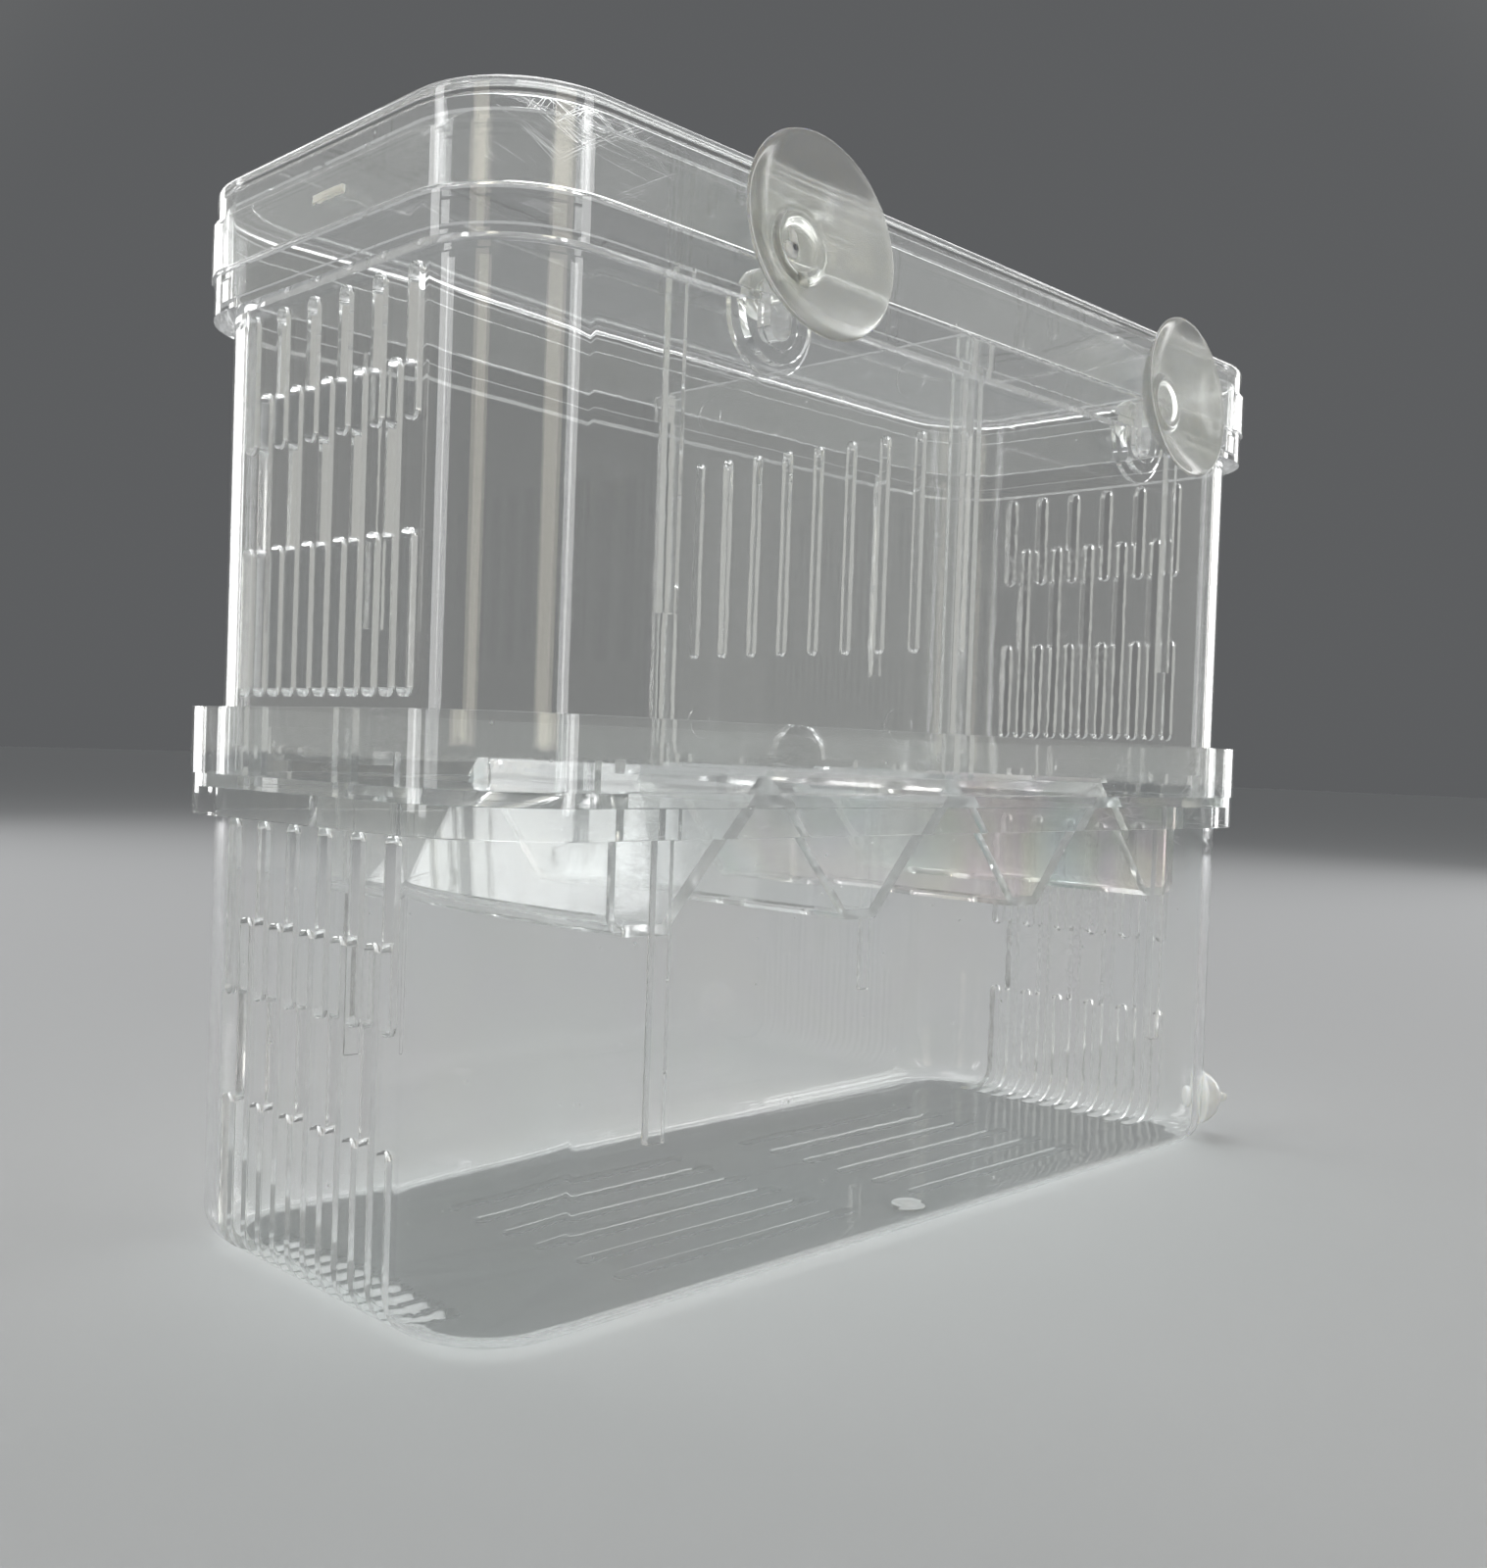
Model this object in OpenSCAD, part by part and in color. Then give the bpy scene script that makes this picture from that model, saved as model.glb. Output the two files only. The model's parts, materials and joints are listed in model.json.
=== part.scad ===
// Two-tier breeding box for a fish tank. A slotted upper box with a lifting divider stands on a tray of
// four V troughs, which sits in the rim of the fry box below. Two soft cups in slotted bosses hang it on
// the glass. The origin is the centre of the lower box's underside, the cups face -Y, and the long side
// is along X. All outlines are set in or out from the lid's, and all heights are stacked from the floor up.

/* [Lower box] */
// How far the lower wall stands in from the lid's outline
lower_in = 2.3; // [1.6:0.1:4]
// Outside corner radius of the lower wall
lower_r = 16.5; // [12:0.5:19]
// Wall thickness
lower_wall = 2; // [1.4:0.1:2.4]
// Floor thickness
floor_t = 1.4; // [1.2:0.1:3]
// Radius where the wall turns into the floor, outside
floor_fillet = 6; // [3:0.5:9]
// Height of the underside of the stepped rim
ledge_z = 65.8; // [58:0.2:80]
// Height of the shelf inside the rim, which carries the tray, over that underside
shelf_up = 4.1; // [2:0.1:6]

/* [Lower box rim] */
// How far the rim stands out past the lid's outline
rim_out = 1; // [0.2:0.1:4]
// Outside corner radius of the rim
rim_r = 19; // [16:0.5:22]
// Wall thickness of the rim
rim_wall = 1.8; // [1.2:0.1:2.2]
// Height of the fine step round the rim's outside, over the rim's underside
rim_step_up = 6.1; // [4.4:0.1:8]
// Depth of that step
rim_step = 0.3; // [0.1:0.1:0.6]
// Height of the whole rim
rim_h = 16; // [12:0.2:20]
// Width of the locating posts inside the rim's ends
post_w = 3; // [2:0.1:4]
// Distance from the middle to each post's centre
post_y = 12; // [11.5:0.5:20]

/* [Upper box] */
// How far the upper wall stands in from the lid's outline
upper_in = 3.2; // [2.6:0.1:5]
// Outside corner radius of the upper wall
upper_r = 15.7; // [12:0.1:18]
// Wall thickness
upper_wall = 2; // [1.4:0.1:2.4]
// Height of the straight lower edges above the tray's flange
upper_lift = 2.5; // [1:0.1:5]
// Extra height of the little step beside each foot
foot_step = 1.8; // [0.5:0.1:3]
// Length of that step
foot_step_l = 4; // [2:0.5:8]
// Length of the foot past the corner's curve
foot_run = 2.5; // [0:0.1:6]
// Height of the collar's underside over the feet
upper_h = 68.3; // [60:0.1:90]
// Height of the collar, on which the lid rests
collar_h = 5.7; // [4.8:0.1:8]
// How far the collar stands in from the lid's outline
collar_in = 0.5; // [0:0.1:1.4]
// Outside corner radius of the collar
collar_r = 17.5; // [15:0.5:20]
// Height of the inner step, above which the box is wider inside, over the collar's underside
inner_step_up = 2; // [1.2:0.1:4]
// Wall thickness above the collar
lip_wall = 1.8; // [1:0.1:2]
// Height of the lip over the collar
lip_h = 9.9; // [6.2:0.1:14]

/* [End slots] */
// Width of the end slots
slot_w = 2.6; // [1.6:0.1:3.4]
// Distance between neighbouring slots of one row
slot_pitch = 8.4; // [7.4:0.1:8.4]
// Slots in the outer row of each end wall
slot_n = 6; // [2:2:6]
// Bar left between the upper box's high slots and its collar
up_high_bar = 1; // [1:0.1:8]
// Foot of the upper box's high slots, over its feet
up_high_foot = 47; // [40:0.1:52]
// Top of the upper box's long slots, over its feet
up_long_top = 55.6; // [38:0.1:58]
// Top of the upper box's low slots, over its feet
up_low_top = 33.3; // [22:0.1:36]
// Foot of the upper box's long and low slots, over its feet
up_low_foot = 11.5; // [10.3:0.1:18]
// Foot of the lower box's high slots
low_high_foot = 39.4; // [32.2:0.1:50.2]
// Top of the lower box's long slots
low_long_top = 51.2; // [32.2:0.5:58.2]
// Top of the lower box's low slots
low_low_top = 24.7; // [16.2:0.5:28.2]
// How far the lower slots run in across the floor
slot_floor_run = 13; // [9:0.5:20]

/* [Floor slots] */
// Distance between the floor slots
floor_slot_pitch = 8.4; // [7.5:0.1:10]
// Floor slots in each half
floor_slot_n = 6; // [2:2:6]
// How far the floor slots' rows sit off the middle, towards +Y
floor_slot_y = -3; // [-5:0.5:3]
// Distance from the middle to where the floor slots start
floor_slot_in = 8; // [4:0.1:12]
// Distance from the middle to where the floor slots end
floor_slot_out = 60.5; // [40:0.5:75]

/* [Wall ribs and rails] */
// Distance from the middle to the stacking ribs
rib_x = 66; // [64:0.5:72]
// Width of the stacking ribs
rib_w = 3; // [2:0.1:4]
// How far the stacking ribs stand in from the wall
rib_d = 1.3; // [0.8:0.1:1.4]
// Foot of the upper stacking ribs, over the upper box's feet
rib_up_foot = 24.3; // [14:0.1:40]
// Foot of the lower stacking ribs
rib_low_foot = 24.2; // [14.2:0.5:42.2]
// Width of each guide rail of the divider
rail_w = 1.6; // [1:0.1:2.4]
// How far the guide rails stand in from the wall
rail_d = 2.2; // [1.5:0.1:3]
// Height of the guide rails' top over the inner step
rail_up = 5; // [1:0.1:7]
// Half width of the raised pad on the upper box's ends
pad_half = 9; // [6:0.1:9.5]
// Foot of that pad over the upper wall's straight lower edge
pad_up = 0.8; // [0.4:0.1:2]
// Height of that pad
pad_h = 3.8; // [2.6:0.1:5.6]
// How far that pad stands out
pad_d = 1; // [0.5:0.1:1.2]
// Width of the frame round the pad's sunken middle
pad_frame = 1; // [0.6:0.1:1.2]

/* [Cup bosses] */
// Distance from the middle to each boss
boss_x = 50; // [40:0.5:55]
// Width of the boss's foot plate
boss_w = 16.6; // [15:0.2:20]
// Width of the boss's raised plate
boss_in_w = 13.4; // [11:0.2:14.4]
// Thickness of the foot plate
boss_foot_d = 0.9; // [0.4:0.1:1.2]
// Thickness of the raised plate
boss_d = 2.2; // [1.5:0.1:2.5]
// Depth of the centre of the boss's round end under the collar
boss_down = 1; // [0.2:0.1:2]
// Width of the slot for the cup's neck
neck_slot_w = 4.4; // [3.8:0.1:5]
// Depth of the slot's foot under the collar
neck_slot_down = 4.6; // [4:0.1:7]
// Bar left between the slot and the collar's top
neck_slot_bar = 0.7; // [0.5:0.1:1.7]
// Width of the lip round the slot
neck_lip = 1.3; // [0.8:0.1:1.6]
// How far that lip stands off the raised plate
neck_lip_d = 0.4; // [0.2:0.1:0.6]

/* [Lid] */
// Outside length of the lid
lid_l = 200; // [180:0.2:240]
// Outside width of the lid
lid_w = 84; // [76:0.2:100]
// Outside corner radius of the lid
lid_r = 18; // [15:0.5:21]
// Wall thickness of the lid's skirt
lid_wall = 1.6; // [1:0.1:1.6]
// Thickness of the lid's top
lid_t = 1.8; // [1.4:0.1:2]
// Height of the step round the lid's outside over the collar
lid_step_up = 7.9; // [4.3:0.1:9.4]
// Depth of that step
lid_step = 0.7; // [0.3:0.1:0.8]
// Radius of the lid's top edge
lid_edge = 1.3; // [0.6:0.1:1.8]
// Room between the upper box's lip and the lid's underside
lid_room = 1.5; // [0.5:0.1:3]
// Depth of the sunken panel in the lid's top
panel_d = 0.6; // [0.2:0.1:0.8]
// Width of the border round that panel
panel_border = 7; // [4:0.5:14]

/* [Divider] */
// Thickness of the divider
div_t = 2; // [1.4:0.1:2.6]
// Height of the divider's top edge over its guide rails
div_up = 1; // [-3:0.1:5]
// Width of the divider's slots
div_slot_w = 1.6; // [1:0.1:2.4]
// Distance between the divider's slots
div_slot_pitch = 7.67; // [6:0.01:8]
// Number of the divider's slots
div_slot_n = 8; // [4:1:8]
// Foot of the divider's slots over its lower edge
div_slot_foot = 20.2; // [16:0.1:27]
// Depth of the slots' top under the divider's top edge
div_slot_down = 15; // [12:0.1:36]
// Radius of the four ejector marks on the divider
mark_r = 3; // [2:0.1:4]
// Depth of those marks
mark_d = 0.15; // [0.05:0.05:0.3]
// Distance from the middle to the marks, across the box
mark_y = 24.5; // [20:0.5:28]
// Depth of the upper marks' centres under the divider's top edge
mark_high = 6; // [5:0.1:10]
// Height of the lower marks' centres over the divider's lower edge
mark_low = 7.8; // [5:0.1:12]
// Radius of the arch in the divider's lower edge
arch_r = 6.5; // [4:0.5:8]
// Height of the arch's centre over the divider's lower edge
arch_up = 1.3; // [0.5:0.1:3]
// Half width of the stepped shoulders beside the arch
shoulder_half = 14; // [10:0.5:18]
// Height of those shoulders
shoulder_h = 1.4; // [0.5:0.1:2.5]
// Distance from the middle to the stepped corners
corner_step_y = 28; // [24:0.5:32]
// Height of each of the two corner steps
corner_step_h = 1.7; // [0.5:0.1:2.5]

/* [Tray of V troughs] */
// Thickness of the tray's flange
flange_t = 2; // [1.4:0.1:2.6]
// Wall thickness of the troughs
trough_wall = 1.5; // [1:0.1:2]
// Width of each trough's flat bottom
trough_flat = 7; // [5:0.2:10]
// Depth of the troughs' underside under the flange
trough_h = 17.5; // [11:0.1:28]
// Height of the ridges between the troughs over the flange
ridge_up = 3.3; // [1:0.1:4.4]
// Distance from the lower wall's inside to the end troughs' upright walls
trough_in = 21.7; // [17:0.1:24]
// Radius of the end troughs' outer corners at the foot
trough_corner = 3; // [2:0.1:4]
// Width of the flat top of the ridges
ridge_flat = 1; // [0.4:0.1:1.6]
// Width of the fry slits
slit_w = 2.8; // [1.6:0.1:3.4]
// Length of the fry slits
slit_l = 15; // [8:0.5:19]
// Number of fry slits in each trough
slit_n = 3; // [1:1:3]
// Bar left between two fry slits
slit_bar = 4; // [2:0.5:6]

/* [Suction cups] */
// Radius of the cup's lip
cup_r = 14.5; // [12:0.1:15]
// Depth of the cup from its back to its lip
cup_depth = 7; // [4:0.1:8]
// Thickness of the cup at its hub
hub_t = 2; // [1.4:0.1:2.4]
// Thickness of the cup at its lip
lip_t = 0.6; // [0.4:0.1:1]
// Outside radius of the ring round the hub
hub_ring_r = 5; // [4:0.1:6]
// Radius of the dimple inside the ring
hub_dimple_r = 3.4; // [2:0.1:3.6]
// Height of that ring
hub_ring_h = 1; // [0.4:0.1:1.4]
// Radius of the neck
neck_r = 1.7; // [1.3:0.1:1.7]
// Radius of the knob inside the wall
knob_r = 3.6; // [3:0.1:4]
// Thickness of that knob
knob_t = 2.6; // [1.6:0.1:4]
// Room over the necks in their slots at rest
neck_room = 0.7; // [0.2:0.1:2]
// How far the left cup's hub sits above its neck
left_rise = 4.6; // [0:0.1:6.5]
// How far the right cup's hub sits above its neck
right_rise = 1.8; // [0:0.1:6.5]
// How far the hubs sit to the side of their necks, towards -X
hub_side = 0.9; // [0:0.1:1.5]
// Sideways turn of the left cup
left_turn = 1.5; // [-6:0.5:8]
// Sideways turn of the right cup
right_turn = -2; // [-6:0.5:8]
// Upward tilt of the left cup
left_tilt = 7.2; // [0:0.1:9]
// Upward tilt of the right cup
right_tilt = 5.2; // [0:0.1:9]

/* [Corner plug] */
// Radius of the plug's dome
plug_r = 5.7; // [4:0.1:6]
// Height of the plug's centre
plug_z = 8.6; // [8.2:0.1:14.2]
// How far the dome stands out of the corner
plug_out = 4.5; // [2:0.1:5.5]
// Radius of the plug's stem
stem_r = 1.6; // [1:0.1:2]
// Depth of the skirt that hugs the corner behind the dome
plug_skirt = 2.5; // [1.2:0.1:3]
// How far the plug's inner flange stands out past its stem
plug_flange = 0.8; // [0.6:0.1:1]
// Thickness of that flange
plug_flange_t = 1.2; // [0.8:0.1:1.6]
// Radius of the nipple on the dome
nipple_r = 1; // [0.6:0.1:1.6]

/* [Fits] */
// Gap between pieces that lift past one another
gap = 0.3; // [0.3:0.05:0.4]
// Gap between the lid's skirt and the lip that it goes over
lid_gap = 0.45; // [0.3:0.05:0.6]
// Gap under pieces that rest on a seat
seat = 0.2; // [0.1:0.05:0.3]
// Gap between the troughs and the stacking ribs at their sides
trough_gap = 0.6; // [0.4:0.1:3]
// Gap round the soft plug in its hole
plug_gap = 0.1; // [0.05:0.05:0.2]

/* [Hidden] */
$fn = 64;
e = 1; // overshoot of cuts
clear_tint = [0.88, 0.91, 0.92, 0.45];
soft_tint = [0.93, 0.92, 0.86];

// outlines, set in and out from the lid's
lower_l = lid_l - 2 * lower_in;
lower_w = lid_w - 2 * lower_in;
rim_l = lid_l + 2 * rim_out;
rim_w = lid_w + 2 * rim_out;
upper_l = lid_l - 2 * upper_in;
upper_w = lid_w - 2 * upper_in;
collar_l = lid_l - 2 * collar_in;
collar_w = lid_w - 2 * collar_in;
// heights, from the floor up
shelf_z = ledge_z + shelf_up;
rim_step_z = ledge_z + rim_step_up;
rim_top = ledge_z + rim_h;
flange_top = shelf_z + flange_t;
trough_foot = shelf_z - trough_h;
ridge_z = flange_top + ridge_up;
foot_z = flange_top;
edge_z = foot_z + upper_lift;
collar_z = foot_z + upper_h;
collar_top = collar_z + collar_h;
inner_step_z = collar_z + inner_step_up;
lip_top = collar_top + lip_h;
pad_foot = edge_z + pad_up;
rail_top = inner_step_z + rail_up;
boss_z = collar_z - boss_down;
neck_slot_foot = collar_z - neck_slot_down;
neck_slot_top = collar_top - neck_slot_bar;
neck_z = neck_slot_top - neck_room - neck_r;
lid_step_z = collar_top + lid_step_up;
lid_top = lip_top + lid_room + panel_d + lid_t;
div_foot = ridge_z + seat;
div_top = rail_top + div_up;
rim_in_l = rim_l - 2 * rim_wall;
rim_in_w = rim_w - 2 * rim_wall;
rim_in_r = rim_r - rim_wall;
post_d = (rim_in_l - upper_l) / 2 - gap;
lip_l = lid_l - 2 * (lid_wall + lid_gap);
lip_w = lid_w - 2 * (lid_wall + lid_gap);
lip_r = lid_r - lid_wall - lid_gap;
upper_in_w = upper_w - 2 * upper_wall;
div_w = upper_in_w - 2 * gap;
rail_x = div_t / 2 + gap;
boss_face = upper_w / 2 + boss_d + neck_lip_d;
hub_y = -max(boss_face, lid_w / 2, collar_w / 2) - 3.5 * gap;
skirt_z = collar_top + seat;
trough_w = lower_w - 2 * (lower_wall + rib_d + trough_gap);
trough_end_x = lower_l / 2 - lower_wall - trough_in;
trough_pitch = (trough_end_x - trough_corner - trough_flat / 2) / 1.5;
// rise over run of the troughs' sloping walls, from the foot's edge up to the ridge's edge
slope_run = (trough_pitch - ridge_flat - trough_flat) / 2;
slope_rise = ridge_z - trough_foot;
slope_face = sqrt(pow(slope_run, 2) + pow(slope_rise, 2) - pow(trough_wall, 2));
slope = (slope_run * slope_rise - trough_wall * slope_face) / (pow(slope_run, 2) - pow(trough_wall, 2));

// Rounded rectangle, from its size and its corner radius
module round_rect(l, w, r) {
    square([l - 2 * r, w], center = true);
    square([l, w - 2 * r], center = true);
    for (x = [-1, 1], y = [-1, 1]) translate([x * (l / 2 - r), y * (w / 2 - r)]) circle(r);
}

// Upright block with rounded corners, from z0 to z1
module block(l, w, r, z0, z1) {
    translate([0, 0, z0]) linear_extrude(z1 - z0) round_rect(l, w, r);
}

// Half of a profile whose corner at the foot is rounded: width a, height h, radius f
module foot_profile(a, h, f) {
    translate([0, f]) square([a, h - f]);
    square([a - f, f + h / 9]);
    translate([a - f, f]) intersection() { circle(f); translate([0, -f]) square([f, f]); }
}

// Upright block whose foot is rounded all round, standing on z0
module tub(l, w, r, z0, z1, f) {
    h = z1 - z0;
    cx = l / 2 - r;
    cy = w / 2 - r;
    translate([0, 0, z0]) {
        for (a = [0, 1]) mirror([a, 0, 0]) for (b = [0, 1]) mirror([0, b, 0])
            translate([cx, cy, 0]) rotate_extrude(angle = 90) foot_profile(r, h, f);
        rotate([90, 0, 90]) translate([0, 0, -cx]) linear_extrude(2 * cx)
            for (a = [0, 1]) mirror([a, 0]) foot_profile(w / 2, h, f);
        for (b = [0, 1]) mirror([0, b, 0]) translate([0, cy, 0]) rotate([90, 0, 0]) linear_extrude(cy)
            for (a = [0, 1]) mirror([a, 0]) foot_profile(l / 2, h, f);
    }
}

// Cutter for an upright slot through an end wall: centre y, from z0 to z1, both ends round
module end_slot(y, z0, z1, x0, x1) {
    for (s = [-1, 1]) translate([s * (x0 + x1) / 2, y, 0]) rotate([90, 0, 90])
        linear_extrude(x1 - x0, center = true) {
            translate([-slot_w / 2, z0 + slot_w / 2]) square([slot_w, z1 - z0 - slot_w]);
            for (z = [z0 + slot_w / 2, z1 - slot_w / 2]) translate([0, z]) circle(slot_w / 2);
        }
}

// Cutter for a slot in the floor along X, both ends round
module floor_slot(y, x0, x1, z1) {
    for (s = [-1, 1]) translate([0, y, -e]) linear_extrude(z1 + e) {
        translate([s * (x0 + x1) / 2, 0]) square([x1 - x0 - slot_w, slot_w], center = true);
        for (x = [x0 + slot_w / 2, x1 - slot_w / 2]) translate([s * x, 0]) circle(slot_w / 2);
    }
}

// Rows of the end slots: the outer row and the row between
outer_row = [for (i = [0:slot_n - 1]) (i - (slot_n - 1) / 2) * slot_pitch];
inner_row = [for (i = [0:slot_n - 2]) (i - (slot_n - 2) / 2) * slot_pitch];

// Shape of one cup boss in the wall's plane: U with its round end down
module boss_shape(w, top) {
    translate([0, boss_z]) circle(w / 2);
    translate([-w / 2, boss_z]) square([w, top - boss_z]);
}

// Shape of the neck slot in the wall's plane, grown by g
module neck_shape(g, top) {
    translate([0, neck_slot_foot + neck_slot_w / 2]) circle(neck_slot_w / 2 + g);
    translate([-neck_slot_w / 2 - g, neck_slot_foot + neck_slot_w / 2])
        square([neck_slot_w + 2 * g, top - neck_slot_foot - neck_slot_w / 2]);
}

// Plate of a shape drawn in the wall's plane, from y0 out to y1 towards -Y
module on_wall(x, y0, y1) {
    translate([x, -y0, 0]) rotate([90, 0, 0]) linear_extrude(y1 - y0) children();
}

// Upright bar on the upper box's long wall at x, width w, d deep, from z0 to z1, sunk into the wall to y_out
module wall_bar(x, w, d, z0, z1, y_out) {
    translate([x - w / 2, upper_in_w / 2 - d, z0]) cube([w, y_out - upper_in_w / 2 + d, z1 - z0]);
}

module lid() {
    color(clear_tint) {
        difference() {
            union() {
                block(lid_l, lid_w, lid_r, skirt_z, lid_step_z);
                translate([0, 0, lid_top]) mirror([0, 0, 1])
                    tub(lid_l - 2 * lid_step, lid_w - 2 * lid_step, lid_r - lid_step, 0,
                        lid_top - lid_step_z, lid_edge);
            }
            block(lid_l - 2 * lid_wall, lid_w - 2 * lid_wall, lid_r - lid_wall, skirt_z - e,
                  lid_top - lid_t - panel_d);
            block(lid_l - 2 * lid_step - 2 * panel_border, lid_w - 2 * lid_step - 2 * panel_border,
                  lid_r - lid_step - panel_border, lid_top - panel_d, lid_top + e);
        }
    }
}

module upper_box() {
    end_in = upper_l / 2 - upper_wall - e;
    foot_x = upper_l / 2 - upper_r - foot_run;
    foot_y = upper_w / 2 - upper_r - foot_run;
    color(clear_tint) {
        difference() {
            union() {
                block(upper_l, upper_w, upper_r, foot_z, collar_z + e);
                block(collar_l, collar_w, collar_r, collar_z, collar_top);
                block(lip_l, lip_w, lip_r, collar_top - e, lip_top);
                for (s = [-1, 1]) {
                    on_wall(s * boss_x, upper_w / 2 - e, upper_w / 2 + boss_foot_d)
                        boss_shape(boss_w, collar_z + e);
                    on_wall(s * boss_x, upper_w / 2 - e, upper_w / 2 + boss_d)
                        boss_shape(boss_in_w, collar_z + e);
                    on_wall(s * boss_x, upper_w / 2 - e, boss_face) neck_shape(neck_lip, collar_z + e);
                    translate([s * (upper_l / 2 + pad_d / 2 - e / 2), 0, pad_foot + pad_h / 2])
                        cube([pad_d + e, 2 * pad_half, pad_h], center = true);
                }
            }
            block(upper_l - 2 * upper_wall, upper_in_w, upper_r - upper_wall, foot_z - e, inner_step_z + e);
            block(lip_l - 2 * lip_wall, lip_w - 2 * lip_wall, lip_r - lip_wall, inner_step_z, lip_top + e);
            // the straight lower edges stay clear of the tray, and only the corners stand on it
            translate([-foot_x, -upper_w, foot_z - e]) cube([2 * foot_x, 2 * upper_w, upper_lift + e]);
            translate([-upper_l, -foot_y, foot_z - e]) cube([2 * upper_l, 2 * foot_y, upper_lift + e]);
            for (s = [-1, 1]) {
                translate([s * (foot_x - foot_step_l / 2), 0, foot_z + (upper_lift + foot_step) / 2])
                    cube([foot_step_l, 2 * upper_w, upper_lift + foot_step], center = true);
                translate([0, s * (foot_y - foot_step_l / 2), foot_z + (upper_lift + foot_step) / 2])
                    cube([2 * upper_l, foot_step_l, upper_lift + foot_step], center = true);
                on_wall(s * boss_x, upper_w / 2 - upper_wall - e, collar_w / 2 + e)
                    neck_shape(0, neck_slot_top);
                translate([s * (upper_l / 2 + pad_d), 0, pad_foot + pad_h / 2])
                    cube([pad_d, 2 * (pad_half - pad_frame), pad_h - 2 * pad_frame], center = true);
            }
            for (y = outer_row) {
                end_slot(y, foot_z + up_high_foot, collar_z - up_high_bar, end_in, collar_l / 2);
                end_slot(y, foot_z + up_low_foot, foot_z + up_low_top, end_in, collar_l / 2);
            }
            for (y = inner_row) end_slot(y, foot_z + up_low_foot, foot_z + up_long_top, end_in, collar_l / 2);
        }
        for (s = [-1, 1], t = [0, 1]) mirror([0, t, 0]) {
            // stacking rib on the long wall
            wall_bar(s * rib_x, rib_w, rib_d, foot_z + rib_up_foot, inner_step_z, upper_in_w / 2 + e);
            // guide rail of the divider, up over the inner step to the wall above it
            wall_bar(s * (rail_x + rail_w / 2), rail_w, rail_d, edge_z, inner_step_z, upper_in_w / 2 + e);
            wall_bar(s * (rail_x + rail_w / 2), rail_w, rail_d, inner_step_z, rail_top,
                     lip_w / 2 - lip_wall / 2);
        }
    }
}

module divider() {
    h = div_top - div_foot;
    slot_z = [div_foot + div_slot_foot + div_slot_w / 2, div_top - div_slot_down - div_slot_w / 2];
    color(clear_tint) difference() {
        rotate([90, 0, 90]) linear_extrude(div_t, center = true) difference() {
            translate([-div_w / 2, div_foot]) square([div_w, h]);
            for (i = [0:div_slot_n - 1]) translate([(i - (div_slot_n - 1) / 2) * div_slot_pitch, 0]) {
                translate([-div_slot_w / 2, slot_z[0]]) square([div_slot_w, slot_z[1] - slot_z[0]]);
                for (z = slot_z) translate([0, z]) circle(div_slot_w / 2);
            }
            // arched hand hole with its shoulders, and the stepped corners
            translate([0, div_foot + arch_up]) circle(arch_r);
            translate([-arch_r, div_foot - e]) square([2 * arch_r, arch_up + e]);
            translate([-shoulder_half, div_foot - e]) square([2 * shoulder_half, shoulder_h + e]);
            for (s = [0, 1]) mirror([s, 0]) {
                translate([corner_step_y, div_foot - e]) square([div_w, corner_step_h + e]);
                translate([(corner_step_y + div_w / 2) / 2, div_foot - e])
                    square([div_w, 2 * corner_step_h + e]);
            }
        }
        for (y = [-mark_y, mark_y], z = [div_foot + mark_low, div_top - mark_high])
            translate([-div_t / 2 - e, y, z]) rotate([0, 90, 0]) cylinder(h = e + mark_d, r = mark_r);
    }
}

// The troughs seen along Y, drawn g inside their outer face, and up to the height top
module trough_row(g, top) {
    lean = sqrt(1 + slope * slope);
    fall = (trough_wall - g) * lean; // height from the upper face down to this one
    half = (trough_pitch - ridge_flat) / 2;
    edge = trough_pitch / 2;
    foot = trough_foot + g;
    flat = trough_flat / 2 - g * (lean - 1) / slope;
    for (i = [-1.5:1:1.5]) translate([i * trough_pitch, 0]) {
        x = trough_end_x - g - 1.5 * trough_pitch;
        c = trough_corner - g;
        if (abs(i) < 1)
            polygon([[-edge, top], [-edge, ridge_z - fall], [-half, ridge_z - fall], [-flat, foot],
                     [flat, foot], [half, ridge_z - fall], [edge, ridge_z - fall], [edge, top]]);
        else mirror([i < 0 ? 1 : 0, 0]) {
            polygon([[-edge, top], [-edge, ridge_z - fall], [-half, ridge_z - fall], [-flat, foot],
                     [x - c, foot], [x - c, foot + c], [x, foot + c], [x, top]]);
            translate([x - c, foot + c]) intersection() { circle(c); translate([0, -c]) square([c, c]); }
        }
    }
}

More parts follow.
